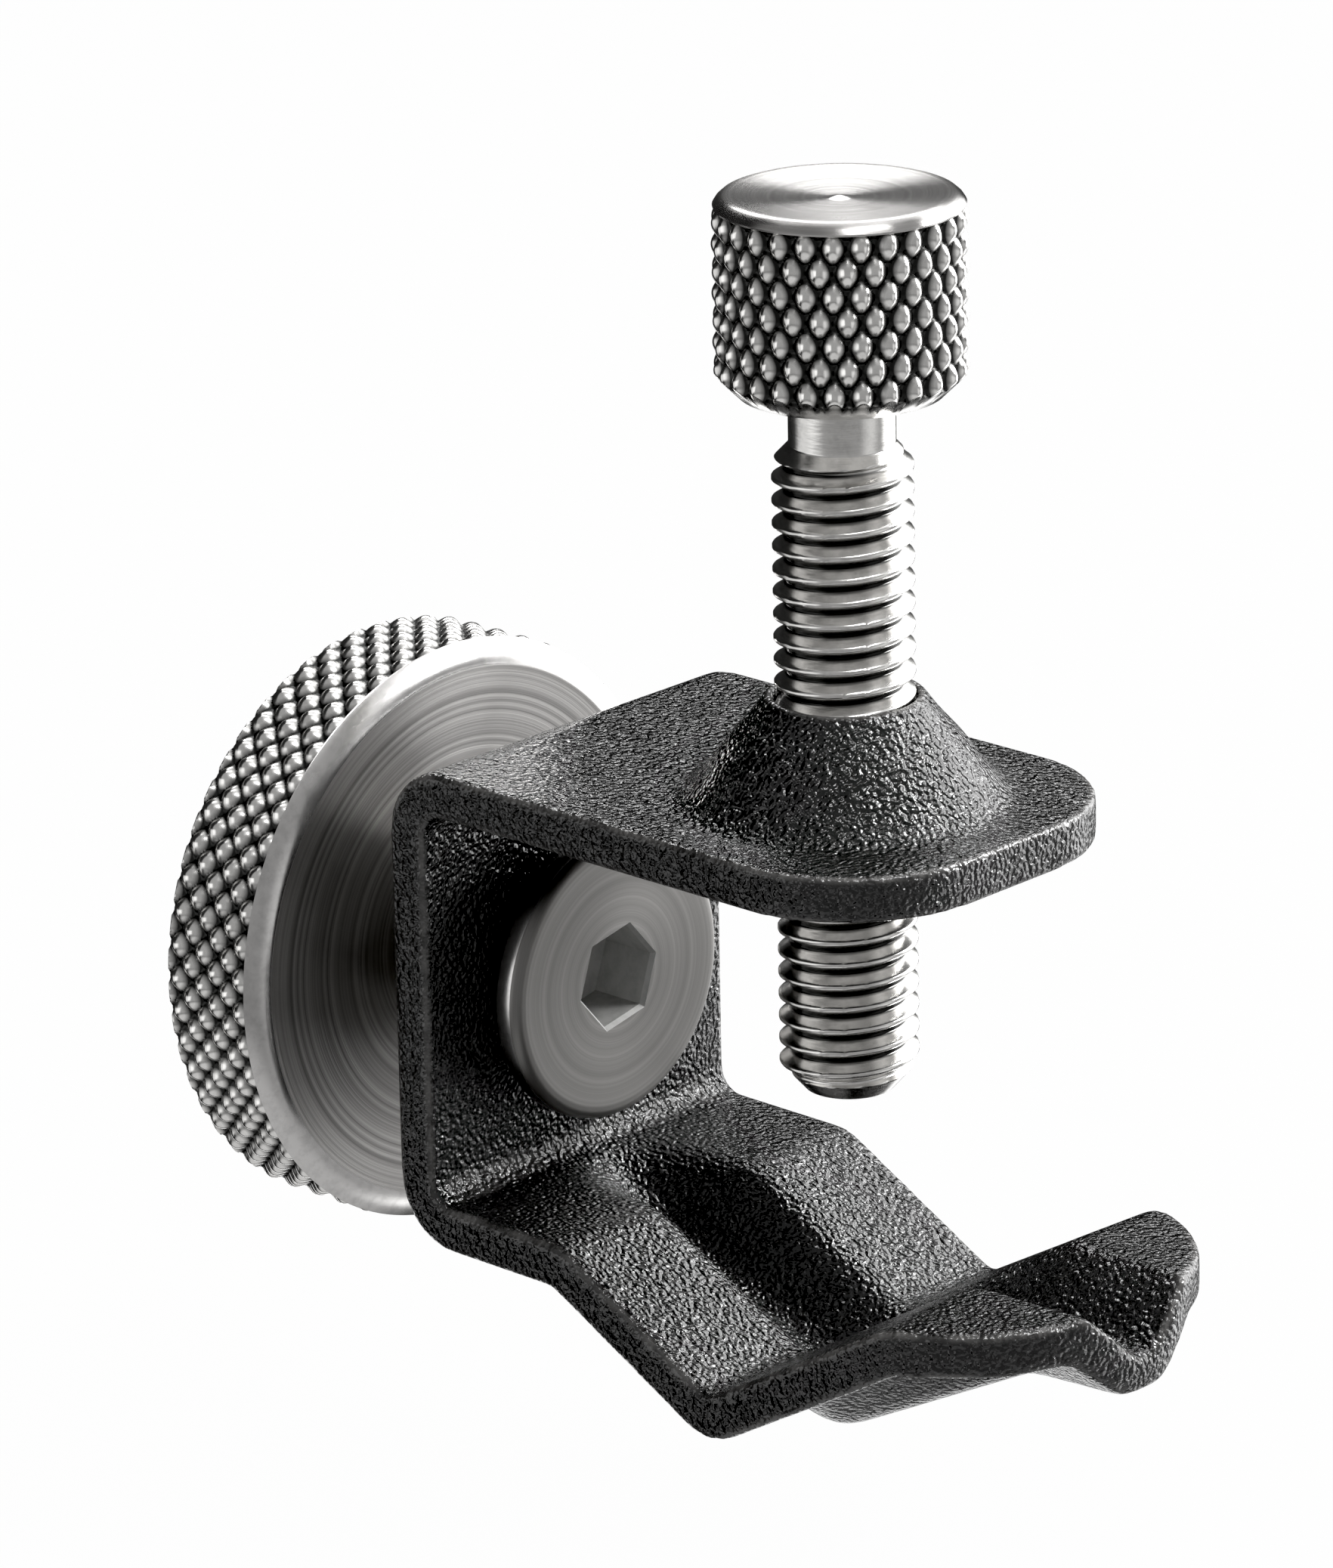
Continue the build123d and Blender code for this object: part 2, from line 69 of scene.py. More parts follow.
SCREW_X = float(HEAD_LOW[0] + HEAD_HIGH[0]) / 2
HEAD_R = float(HEAD_HIGH[0] - HEAD_LOW[0]) / 2
STUD_R = float(STUD_HIGH[2] - STUD_LOW[2]) / 2
DISC_R = float(DISC_HIGH[2] - DISC_LOW[2]) / 2

# both threads share one size
THREAD_R = float(SCREW_HIGH[0] - SCREW_LOW[0]) / 2
PITCH = 25.4 / 16
THREAD_DEPTH = 0.86
THREAD_SEGMENTS = 96
ROWS_PER_PITCH = 20

SEGMENTS_PER_START = 14     # mesh segments round each start of a knurl
FLOOR_Z = -0.034            # metres


# ------------------------------------------------------------ mesh helpers ---
@contextmanager
def editing(mesh):
    """Opens a mesh as a bmesh and writes it back afterwards."""
    bm = bmesh.new()
    bm.from_mesh(mesh)
    yield bm
    bm.to_mesh(mesh)
    bm.free()


def link_object(name, data):
    obj = bpy.data.objects.new(name, data)
    scene.collection.objects.link(obj)
    return obj


def shade_smooth(mesh):
    mesh.polygons.foreach_set("use_smooth", [True] * len(mesh.polygons))


def sharpen(mesh, angle):
    """Edges steeper than angle (degrees) shade hard."""
    limit = math.radians(angle)
    with editing(mesh) as bm:
        for edge in bm.edges:
            if len(edge.link_faces) == 2 and edge.calc_face_angle(0.0) > limit:
                edge.smooth = False
    mesh.update()


def add_attribute(mesh, name, values):
    mesh.attributes.new(name, "FLOAT", "POINT").data.foreach_set("value", values)


def apply_modifiers(obj):
    """Replaces the object's mesh with its modified one and returns that."""
    depsgraph = bpy.context.evaluated_depsgraph_get()
    mesh = bpy.data.meshes.new_from_object(obj.evaluated_get(depsgraph))
    obj.modifiers.clear()
    obj.data = mesh
    return mesh


def register(obj, replaces, ride):
    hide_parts(replaces)
    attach(obj, ride)


# ------------------------------------------------------------ turned parts ---
def round_screw(radius, angle, along):
    """Points about the clamp screw's axis, along Z."""
    return np.stack(np.broadcast_arrays(
        SCREW_X + radius * np.cos(angle), radius * np.sin(angle), along), -1)


def round_stud(radius, angle, along):
    """Points about the stud's axis, along X."""
    return np.stack(np.broadcast_arrays(
        along, radius * np.cos(angle), radius * np.sin(angle)), -1)


def ring_angles(segments):
    return np.linspace(0, 2 * math.pi, segments, endpoint=False)


def plain_rings(place, segments, stations):
    """One ring of points for each (radius, along) station."""
    radius, along = np.array(stations, float).reshape(-1, 2).T
    return place(radius[:, None], ring_angles(segments), along[:, None])


def turned_part(name, place, before, relief, after, end_centres=None):
    """Skins plain rings, the relief (a thread or knurl), then more plain rings.

    With end_centres both ends close in a fan; without, the last ring joins the first.
    """
    points, height = relief
    segments = points.shape[1]
    rows = np.concatenate([plain_rings(place, segments, before), points,
                           plain_rings(place, segments, after)])
    verts = rows.reshape(-1, 3)
    total = len(verts)
    index = np.arange(total).reshape(-1, segments)
    beside = np.roll(index, -1, axis=1)
    quads = np.stack([index, beside, np.roll(beside, -1, axis=0),
                      np.roll(index, -1, axis=0)], -1)
    if end_centres:
        quads = quads[:-1]
        verts = np.vstack([verts, end_centres])
    faces = quads.reshape(-1, 4).tolist()
    if end_centres:
        for row, centre in ((0, total), (-1, total + 1)):
            faces += [(a, b, centre)
                      for a, b in zip(index[row].tolist(), beside[row].tolist())]

    mesh = bpy.data.meshes.new(name)
    mesh.from_pydata((verts * MM).tolist(), [], faces)
    mesh.validate()
    obj = link_object(name, mesh)
    with editing(mesh) as bm:
        bmesh.ops.recalc_face_normals(bm, faces=bm.faces)
    shade_smooth(mesh)
    mesh.update()

    # how far up the relief each point stands, for the materials
    values = np.ones(len(mesh.vertices))
    start = len(before) * segments
    values[start:start + height.size] = np.clip(height.ravel(), 0, 1)
    add_attribute(mesh, "knurl", values)
    return obj


def thread_wave(turns):
    """60 degree profile, 0 at the root and 1 at the crest; turns counts pitches."""
    ridge = np.abs((turns % 1.0) - 0.5) * 2.0
    flank = np.clip((ridge - 0.10) / 0.74, 0, 1)
    # the first part of the flank is a parabola, which rounds the root
    return np.where(flank < 0.14, flank * flank / 0.28, flank - 0.07) / 0.93


def thread_relief(place, low, high, limit_at):
    """Threaded rows and heights; limit_at(along) is the largest radius there."""
    count = int(round((high - low) / (PITCH / ROWS_PER_PITCH))) + 1
    along = np.linspace(low, high, count)[:, None]
    angle = ring_angles(THREAD_SEGMENTS)
    limit = np.array([limit_at(value) for value in along[:, 0]])[:, None]
    wave = thread_wave(along / PITCH - angle / (2 * math.pi))
    radius = np.minimum(THREAD_R - THREAD_DEPTH * (1 - wave), limit)
    height = 1.0 - (np.minimum(THREAD_R, limit) - radius) / THREAD_DEPTH
    return place(radius, angle, along), height


def bead_height(p, q, wide, tall, half_width, half_length):
    """Height 0..1 of rounded beads standing on a crossed lattice.

    p and q are whole at the crests; wide and tall are the lattice spacings round and
    along the axis, half_width and half_length those of one bead.
    """
    off_p, off_q = p - np.round(p), q - np.round(q)
    across = (off_p + off_q) / 2 * wide
    along = (off_p - off_q) / 2 * tall
    dome = np.clip(1.0 - (across / half_width) ** 2 - (along / half_length) ** 2, 0, 1)
    groove = np.cos(off_p * math.pi) * np.cos(off_q * math.pi)
    return dome ** 0.8 * (0.35 + 0.65 * np.clip(groove, 0, 1) ** 0.5)


def knurl_relief(place, radius, depth, low, high, rows, starts, spacing, first_angle,
                 first_along, bead, chamfer_end):
    """Knurled rows and heights, chamfered at 45 degrees below chamfer_end.

    One bead stands at first_angle, first_along; bead is its (half width, half length).
    """
    angle = ring_angles(starts * SEGMENTS_PER_START)
    along = np.linspace(low, high, rows)[:, None]
    round_axis = (angle - first_angle) * starts / (2 * math.pi)
    along_axis = (along - first_along) / spacing
    height = bead_height(round_axis + along_axis, round_axis - along_axis,
                         2 * math.pi * radius / starts, spacing, *bead)
    limit = radius - np.maximum(0.0, chamfer_end - along)
    return place(np.minimum(radius - depth * (1 - height), limit), angle, along), height


# ------------------------------------------------------------ shader graphs ---
class Graph:
    """A node tree; any value may be a number, a colour, a vector or a socket."""

    def __init__(self, tree):
        self.tree = tree

    def find(self, kind):
        return next(node for node in self.tree.nodes if node.type == kind)

    def feed(self, socket, value):
        if isinstance(value, bpy.types.NodeSocket):
            self.tree.links.new(value, socket)
        elif socket.type == "RGBA":
            socket.default_value = (*value, 1)
        else:
            socket.default_value = value

    def new(self, kind, inputs=None, **settings):
        node = self.tree.nodes.new(kind)
        for key, value in settings.items():
            setattr(node, key, value)
        for key, value in (inputs or {}).items():
            self.feed(node.inputs[key], value)
        return node

    def math(self, operation, a, b, clamp=False):
        return self.new("ShaderNodeMath", {0: a, 1: b},
                        operation=operation, use_clamp=clamp).outputs[0]

    def add(self, a, b, clamp=False):
        return self.math("ADD", a, b, clamp)

    def subtract(self, a, b):
        return self.math("SUBTRACT", a, b)

    def multiply(self, a, by):
        return self.math("MULTIPLY", a, by)

    def vector_math(self, operation, *values):
        return self.new("ShaderNodeVectorMath", dict(enumerate(values)), operation=operation)

    def mix_shaders(self, fac, a, b):
        return self.new("ShaderNodeMixShader", {0: fac, 1: a, 2: b}).outputs[0]

    def camera_ray(self):
        return self.new("ShaderNodeLightPath").outputs["Is Camera Ray"]


class Material(Graph):
    def __init__(self, name):
        self.mat = bpy.data.materials.new(name)
        self.mat.use_nodes = True
        super().__init__(self.mat.node_tree)
        self.bsdf = self.find("BSDF_PRINCIPLED")

    def set(self, name, value):
        self.feed(self.bsdf.inputs[name], value)

    def coords(self, scale=(1, 1, 1)):
        place = self.new("ShaderNodeTexCoord").outputs["Object"]
        return self.new("ShaderNodeMapping", {"Vector": place, "Scale": scale}).outputs["Vector"]

    def noise(self, vector, scale, detail=4.0, rough=0.55, output="Fac"):
        return self.new("ShaderNodeTexNoise", {
            "Vector": vector, "Scale": scale, "Detail": detail, "Roughness": rough,
        }).outputs[output]

    def attribute(self, name):
        return self.new("ShaderNodeAttribute", attribute_name=name).outputs["Fac"]

    def ramp(self, fac, low, high):
        """low and high are (position, grey or colour)."""
        node = self.new("ShaderNodeValToRGB", {"Fac": fac})
        for element, (position, colour) in zip(node.color_ramp.elements, (low, high)):
            element.position = position
            if isinstance(colour, (int, float)):
                colour = (colour, colour, colour)
            element.color = (*colour, 1)
        return node.outputs["Color"]

    def mask(self, fac, low, high):
        return self.ramp(fac, (low, 0.0), (high, 1.0))

    def mix(self, fac, a, b):
        return self.new("ShaderNodeMix", {0: fac, 6: a, 7: b}, data_type="RGBA").outputs[2]

    def varied(self, base, texture, amount):
        """base shifted up and down by a 0..1 texture."""
        return self.add(base, self.multiply(self.subtract(texture, 0.5), by=amount), clamp=True)

    def bump(self, height, strength, distance):
        return self.new("ShaderNodeBump", {
            "Height": height, "Strength": strength, "Distance": distance}).outputs["Normal"]


# --------------------------------------------------------------- materials ---
def shade(colour, factor):
    return tuple(channel * factor for channel in colour)


def wrinkle_paint():
    """Black wrinkle paint: raised glossy grain, a little worn on the edges, with painted
    highlights that lighten the edges and the inside bends.
    """
    n = Material("black_wrinkle_paint")
    vector = n.coords()
    edge = n.attribute("edge")
    fold = n.attribute("fold")
    grain = n.noise(vector, scale=3100.0, detail=0.6, rough=0.35)
    fine = n.noise(vector, scale=6500.0, detail=1.0, rough=0.5)
    broad = n.noise(vector, scale=220.0, detail=3.0, rough=0.5)

    # wrinkle cells, their outlines pushed about by a slower noise
    warp = n.noise(vector, scale=900.0, detail=1.0, rough=0.5, output="Color")
    warp_reach = (0.0006, 0.0006, 0.0006)
    warped = n.vector_math("MULTIPLY_ADD", warp, warp_reach, vector).outputs[0]
    cell = n.new("ShaderNodeTexVoronoi",
                 {"Vector": warped, "Scale": 2350.0, "Smoothness": 0.35},
                 feature="SMOOTH_F1").outputs["Distance"]

    # the paint draws thin and smooth over the sheared edges
    height = n.add(n.multiply(cell, by=-0.55), grain)
    height = n.add(height, n.multiply(fine, by=0.05))
    strength = n.subtract(1.0, n.multiply(edge, by=0.80))
    n.set("Normal", n.bump(height, strength=strength, distance=0.00026))

    tone = n.ramp(cell, low=(0.10, (0.015, 0.0145, 0.014)), high=(0.50, (0.004, 0.004, 0.004)))
    tone = n.mix(n.multiply(broad, by=0.3), tone, (0.010, 0.0098, 0.0095))
    pointiness = n.new("ShaderNodeNewGeometry").outputs["Pointiness"]
    worn = n.multiply(n.mask(pointiness, low=0.53, high=0.60),
                      n.mask(n.noise(vector, scale=380.0, detail=5.0), low=0.52, high=0.66))
    tone = n.mix(n.multiply(worn, by=0.25), tone, (0.12, 0.115, 0.11))
    # partly wear and partly painted highlight: patchy lightening along the edges stands in for
    # their rim highlights
    sheen_and_wear_mottle = n.ramp(n.noise(vector, scale=520.0, detail=4.0), low=(0.38, 0.25), high=(0.60, 1.0))
    tone = n.mix(n.multiply(n.multiply(edge, sheen_and_wear_mottle), by=0.7), tone, (0.20, 0.195, 0.19))
    # painted highlight: the colour is lightened in the inside bends to stand in for the
    # highlight along them; the paint is also rougher there
    tone = n.mix(n.multiply(n.multiply(fold, sheen_and_wear_mottle), by=0.6), tone, (0.13, 0.127, 0.122))
    n.set("Base Color", tone)

    rough = n.ramp(grain, low=(0.3, 0.11), high=(0.7, 0.19))
    n.set("Roughness", n.add(rough, n.multiply(fold, by=0.17), clamp=True))
    n.set("Specular IOR Level", 0.70)
    return n.mat


def bright_metal(name, colour, rough, axis="z", marks_scale=1800.0, bump=0.05, metallic=1.0,
                 painted_root_shade=False):
    """Plated metal with fine turning marks stacked along axis and light wear."""
    n = Material(name)
    stretched = n.coords({"z": (0.15, 0.15, 1.0), "x": (1.0, 0.15, 0.15)}[axis])
    vector = n.coords()
    marks = n.noise(stretched, scale=marks_scale, detail=3.0, rough=0.6)
    smudge = n.noise(vector, scale=160.0, detail=4.0, rough=0.6)
    spots = n.noise(vector, scale=900.0, detail=5.0, rough=0.65)
    tone = n.mix(n.mask(spots, low=0.45, high=0.75), colour, shade(colour, 0.78))
    if painted_root_shade:
        # painted shade: the colour is darkened in the roots of the thread, where shade falls
        out_of_root_shade = n.mask(n.attribute("knurl"), low=0.02, high=0.22)
        tone = n.mix(out_of_root_shade, (0.030, 0.030, 0.029), tone)
    n.set("Base Color", tone)
    n.set("Metallic", metallic)
    rough = n.varied(rough, smudge, amount=0.16)
    n.set("Roughness", n.varied(rough, marks, amount=0.10))
    n.set("Normal", n.bump(marks, strength=bump, distance=0.00005))
    return n.mat


def knurled_metal(name, colour, rough):
    """Plated knurl: painted shade darkens the colour down in the cuts; the tops keep the plating
    colour.
    """
    n = Material(name)
    vector = n.coords()
    raised = n.mask(n.attribute("knurl"), low=0.26, high=0.70)
    spots = n.noise(vector, scale=1100.0, detail=4.0, rough=0.6)
    smudge = n.noise(vector, scale=160.0, detail=4.0, rough=0.6)
    top = n.mix(n.mask(spots, low=0.40, high=0.75), colour, shade(colour, 0.82))
    # painted shade: the colour darkens down in the cuts, where shade falls
    n.set("Base Color", n.mix(raised, (0.045, 0.045, 0.044), top))
    n.set("Metallic", 1.0)
    rough = n.varied(rough, smudge, amount=0.16)
    in_cuts = n.multiply(n.subtract(1.0, raised), by=0.20)
    n.set("Roughness", n.add(rough, in_cuts, clamp=True))
    n.set("Normal", n.bump(spots, strength=0.10, distance=0.00005))
    return n.mat


def turned_face(name, colour, rough, lines, bump, aniso, axis="x", centre=(0, 0, 0), dark=0.72):
    """Faced metal: concentric tool lines and the fan highlights they throw."""
    n = Material(name)
    place = n.new("ShaderNodeTexCoord").outputs["Object"]
    offset = n.vector_math("SUBTRACT", place, centre).outputs[0]
    across = (0, 1, 1) if axis == "x" else (1, 1, 0)
    radial = n.vector_math("MULTIPLY", offset, across).outputs[0]
    radius = n.vector_math("LENGTH", radial).outputs["Value"]
    by_radius = n.new("ShaderNodeCombineXYZ", {0: radius}).outputs[0]
    coarse = n.noise(by_radius, scale=lines, detail=3.0, rough=0.7)
    fine = n.noise(by_radius, scale=lines * 3.1, detail=2.0, rough=0.6)
    smudge = n.noise(place, scale=130.0, detail=4.0, rough=0.6)
    n.set("Metallic", 1.0)
    n.set("Base Color", n.mix(n.mask(coarse, low=0.35, high=0.65), shade(colour, dark), colour))
    n.set("Roughness", n.varied(rough, smudge, amount=0.14))
    height = n.add(coarse, n.multiply(fine, by=0.5))
    n.set("Normal", n.bump(height, strength=bump, distance=0.00006))
    # the lines run round the axis, so the gloss spreads along the radius
    n.set("Anisotropic", aniso)
    n.set("Tangent", n.vector_math("NORMALIZE", radial).outputs[0])
    return n.mat


def matt_rubber():
    n = Material("matt_rubber")
    grain = n.noise(n.coords(), scale=1500.0, detail=4.0)
    n.set("Base Color", n.ramp(grain, low=(0.3, 0.018), high=(0.7, 0.040)))
    n.set("Roughness", n.ramp(grain, low=(0.3, 0.62), high=(0.7, 0.85)))
    n.set("Normal", n.bump(grain, strength=0.3, distance=0.0001))
    return n.mat


def pale_floor():
    """Matt floor that looks almost plain white to the camera."""
    n = Material("pale_floor")
    cloud = n.noise(n.coords(), scale=3.0, detail=3.0)
    n.set("Base Color", n.ramp(cloud, low=(0.3, 0.24), high=(0.7, 0.27)))
    n.set("Roughness", 0.9)
    n.set("Specular IOR Level", 0.1)
    glow = n.new("ShaderNodeEmission", {"Color": (1, 1, 1), "Strength": 1.0}).outputs[0]
    shader = n.mix_shaders(n.multiply(n.camera_ray(), by=0.985), n.bsdf.outputs[0], glow)
    n.feed(n.find("OUTPUT_MATERIAL").inputs["Surface"], shader)
    return n.mat


PAINT = wrinkle_paint()
SCREW_NICKEL = bright_metal("bright_nickel", colour=(0.80, 0.79, 0.77), rough=0.20, bump=0.5,
                            painted_root_shade=True)
STUD_PLATING = bright_metal("stud_plating", colour=(0.70, 0.69, 0.68), rough=0.24, axis="x",
                            painted_root_shade=True)
HEAD_TOP = turned_face("thumb_head_top", colour=(0.47, 0.46, 0.45), rough=0.24, lines=2400.0,
                       bump=0.25, aniso=0.9, axis="z", centre=(SCREW_X * MM, 0, 0))
HEAD_KNURL = knurled_metal("knurled_nickel", colour=(0.88, 0.87, 0.85), rough=0.15)
DISC_KNURL = knurled_metal("knurled_alloy", colour=(0.88, 0.87, 0.85), rough=0.18)
DISC_RING = bright_metal("disc_ring", colour=(0.64, 0.63, 0.62), rough=0.24, axis="x",
                         marks_scale=1500.0, bump=0.03)
DISC_FACE = turned_face("turned_alloy", colour=(0.45, 0.44, 0.43), rough=0.43, lines=1700.0,
                        bump=0.55, aniso=0.70, dark=0.42)
STUD_FACE = turned_face("stud_head_satin", colour=(0.275, 0.27, 0.262), rough=0.46,
                        lines=1500.0, bump=0.12, aniso=0.35)
SOCKET = bright_metal("socket_dark", colour=(0.46, 0.46, 0.45), rough=0.60, axis="x",
                      metallic=0.3)
ZINC = bright_metal("zinc_plate", colour=(0.60, 0.59, 0.57), rough=0.32, axis="x")
TIP_METAL = bright_metal("tip_metal", colour=(0.62, 0.56, 0.44), rough=0.26)
RUBBER = matt_rubber()


# ----------------------------------------------------------------- bracket ---
def smoothed(points, edges, weight, rounds, steps=(0.5,)):
    """Weighted Laplacian smoothing; a negative step swells the shape back."""
    count = len(points)
    degree = np.bincount(edges.ravel(), minlength=count).astype(float)
    degree[degree == 0] = 1
    weight = weight[:, None]
    for _ in range(rounds):
        for step in steps:
            total = np.zeros_like(points)
            for k in range(3):
                total[:, k] = (np.bincount(edges[:, 0], points[edges[:, 1], k], count)
                               + np.bincount(edges[:, 1], points[edges[:, 0], k], count))
            points = points + step * weight * (total / degree[:, None] - points)
    return points


def unit(values):
    return np.clip(values, 0, 1)


def read_array(items, key, width, kind=float):
    flat = np.zeros(len(items) * width, kind)
    items.foreach_get(key, flat)
    return flat.reshape(-1, width)


def build_bracket():
    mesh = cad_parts["clamp_frame"].data.copy()
    obj = link_object("bracket", mesh)
    with editing(mesh) as bm:
        bmesh.ops.remove_doubles(bm, verts=bm.verts, dist=2e-6)
    remesh = obj.modifiers.new("remesh", "REMESH")
    remesh.mode = "VOXEL"
    remesh.voxel_size = 0.00026
    remesh.adaptivity = 0.0
    mesh = apply_modifiers(obj)

    points = read_array(mesh.vertices, "co", 3) * 1000.0
    edges = read_array(mesh.edges, "vertices", 2, np.int64)
    everywhere = np.ones(len(points))

    # general easing of the sheared edges
    points = smoothed(points, edges, everywhere, rounds=6, steps=(0.5, -0.5))
    points = smoothed(points, edges, everywhere, rounds=9)

    # the pressed channel and the bends of the jaw are drawn soft, less so at the +X end
    x, y, z = points.T
    jaw = unit((x - 22.3) / 3.0) * unit((-11.0 - z) / 1.0)
    middle = unit((8.5 - np.abs(y)) / 2.0)
    before_end = unit((70.1 - x) / 4.0)
    points = smoothed(points, edges, jaw * middle * (0.25 + 0.75 * before_end), rounds=44)

    # the tapped hole stays clear of the screw's crests
    hole_reach, hole_r, hole_bottom = 5.05, 4.86, 14.0
    offset = points[:, :2] - np.array([SCREW_X, 0.0])
    radius = np.hypot(offset[:, 0], offset[:, 1])
    hole = (radius < hole_reach) & (points[:, 2] > hole_bottom)
    grow = np.maximum(radius[hole], hole_r) / radius[hole] - 1.0
    points[hole, :2] += offset[hole] * grow[:, None]

    lift = points - smoothed(points, edges, everywhere, rounds=24)
    mesh.vertices.foreach_set("co", (points * MM).ravel())
    mesh.update()

    # how far each point stands out on an edge or lies in a fold, for the paint
    lift = (lift * read_array(mesh.vertices, "normal", 3)).sum(1)
    add_attribute(mesh, "edge", unit((lift - 0.09) / 0.12))
    clear_of_jaw = unit((24.5 - x) / 1.5)
    add_attribute(mesh, "fold", unit((-lift - 0.04) / 0.06) * clear_of_jaw)

    mesh.materials.clear()
    mesh.materials.append(PAINT)
    shade_smooth(mesh)
    register(obj, "clamp_frame", "frame")


# ------------------------------------------------------------- clamp screw ---
def build_screw():
    tip, top = float(SCREW_LOW[2]), float(SCREW_HIGH[2])
    tip_r, tip_taper = 3.1, 1.9
    fade_start = 42.3 - 0.5     # the thread dies out above here
    runout = 43.1
    neck_r, neck_top = 3.6, 46.5
    shank_r = 3.0
    bore_r, bore_end = 1.55, 0.85

    def limit_at(z):
        if z <= tip + tip_taper:
            return tip_r + (z - tip) * (THREAD_R - tip_r) / tip_taper
        if z > fade_start:
            return max(neck_r, THREAD_R - (z - fade_start) * 0.95)
        return THREAD_R

    # (radius, z): up the blind bore in the tip, listed from its closed end
    bore = [(bore_r, bore_end), (bore_r, tip + 0.15), (1.75, tip), (2.75, tip)]
    # (radius, z): the plain neck, then the shank up inside the head
    neck = [(neck_r, runout + 0.12), (neck_r, 44.0), (neck_r, 46.3), (neck_r, neck_top),
            (shank_r, neck_top), (shank_r, top - 0.3), (2.6, top)]
    obj = turned_part("thumb_screw_thread", round_screw, bore,
                      thread_relief(round_screw, tip, runout, limit_at), neck,
                      end_centres=((SCREW_X, 0, bore_end + 0.05), (SCREW_X, 0, top)))
    sharpen(obj.data, 50)
    obj.data.materials.append(SCREW_NICKEL)
    register(obj, "clamp_screw", "screw")


# -------------------------------------------------------------- thumb head ---
def build_head():
    low, high = float(HEAD_LOW[2]), float(HEAD_HIGH[2])
    knurl_top = high - 0.95
    bore_r, bore_top = 3.02, low + 0.6
    rim_drop, dish_depth, dish_rings = 0.03, 0.32, 25
    boss_r, boss_rise = 0.75, 0.16      # small rounded boss in the middle of the dish
    dish_r = HEAD_R - 1.35

    relief = knurl_relief(
        round_screw, HEAD_R, depth=0.62, low=low + 1.05, high=knurl_top, rows=112, starts=27,
        spacing=3.34, first_angle=math.radians(-44.6), first_along=50.0, bead=(0.95, 1.15),
        chamfer_end=low + 1.6)
    # (radius, z): bore and flat underside
    under = [(bore_r, bore_top), (bore_r, low + 0.02), (3.9, low), (HEAD_R - 1.75, low),
             (HEAD_R - 1.55, low + 0.06)]
    # (radius, z): rounded upper edge
    over = [(HEAD_R - 0.16, knurl_top + 0.12), (HEAD_R - 0.12, knurl_top + 0.25),
            (HEAD_R - 0.30, high - 0.42), (HEAD_R - 0.62, high - 0.14),
            (HEAD_R - 0.98, high - 0.02), (HEAD_R - 1.25, high - rim_drop)]
    for k in range(1, dish_rings + 1):
        fraction = 1 - k / (dish_rings + 1.0)
        radius = dish_r * fraction
        z = high - rim_drop - dish_depth * (1 - fraction * fraction)
        if radius < boss_r:
            z += boss_rise * math.cos(radius / boss_r * math.pi / 2)
        over.append((radius, z))
    centre_z = high - rim_drop - dish_depth + boss_rise
    obj = turned_part("thumb_head_knurled", round_screw, under, relief, over,
                      end_centres=((SCREW_X, 0, bore_top), (SCREW_X, 0, centre_z)))
    sharpen(obj.data, 38)
    obj.data.materials.append(HEAD_KNURL)
    obj.data.materials.append(HEAD_TOP)
    for face in obj.data.polygons:
        if face.center.z > (high - 0.8) * MM:
            face.material_index = 1
    register(obj, "thumb_head", "screw")


# --------------------------------------------------------------- lock disc ---
def build_disc():
    back_x, face_x = float(DISC_LOW[0]), float(DISC_HIGH[0])
    knurl_end = face_x - 0.85
    bore_r = THREAD_R + 0.06
    groove_depth = 0.030

    relief = knurl_relief(
        round_stud, DISC_R, depth=0.68, low=back_x + 0.12, high=knurl_end, rows=66, starts=53,
        spacing=2.45, first_angle=math.radians(151.9), first_along=1.5, bead=(1.25, 1.12),
        chamfer_end=back_x + 0.5)
    # (radius, x): out of the bore and over the recessed -X side
    back = [(bore_r + 0.05, 2.2), (bore_r + 0.5, 1.66), (16.2, 1.65), (16.3, 1.55),
            (16.3, back_x + 0.25), (16.5, back_x), (DISC_R - 1.25, back_x),
            (DISC_R - 1.05, back_x + 0.04)]
    # (radius, x): bevel, tool lines cut into the face, then a plain hub round the bore
    front = [(DISC_R - 0.12, knurl_end + 0.06), (DISC_R - 0.16, knurl_end + 0.14),
             (19.75, face_x - 0.14), (19.45, face_x - 0.04), (19.2, face_x)]
    front += [(radius, face_x - (groove_depth if i % 2 else 0.0))
              for i, radius in enumerate(np.arange(19.0, 7.0, -0.16))]
    front += [(6.6, face_x - 0.02), (bore_r + 0.7, face_x - 0.02),
              (bore_r + 0.05, face_x - 0.55), (bore_r, 5.0)]
    obj = turned_part("lock_disc_knurled", round_stud, back, relief, front)
    sharpen(obj.data, 42)
    for material in (DISC_KNURL, DISC_FACE, DISC_RING):
        obj.data.materials.append(material)
    for face in obj.data.polygons:
        centre = face.center
        radius = math.hypot(centre.y, centre.z) * 1000
        if centre.x > (face_x - 0.12) * MM and radius < 19.3:
            face.material_index = 1
        elif centre.x > (knurl_end + 0.03) * MM and radius > 19.2:
            face.material_index = 2
    register(obj, "lock_disc", "disc")


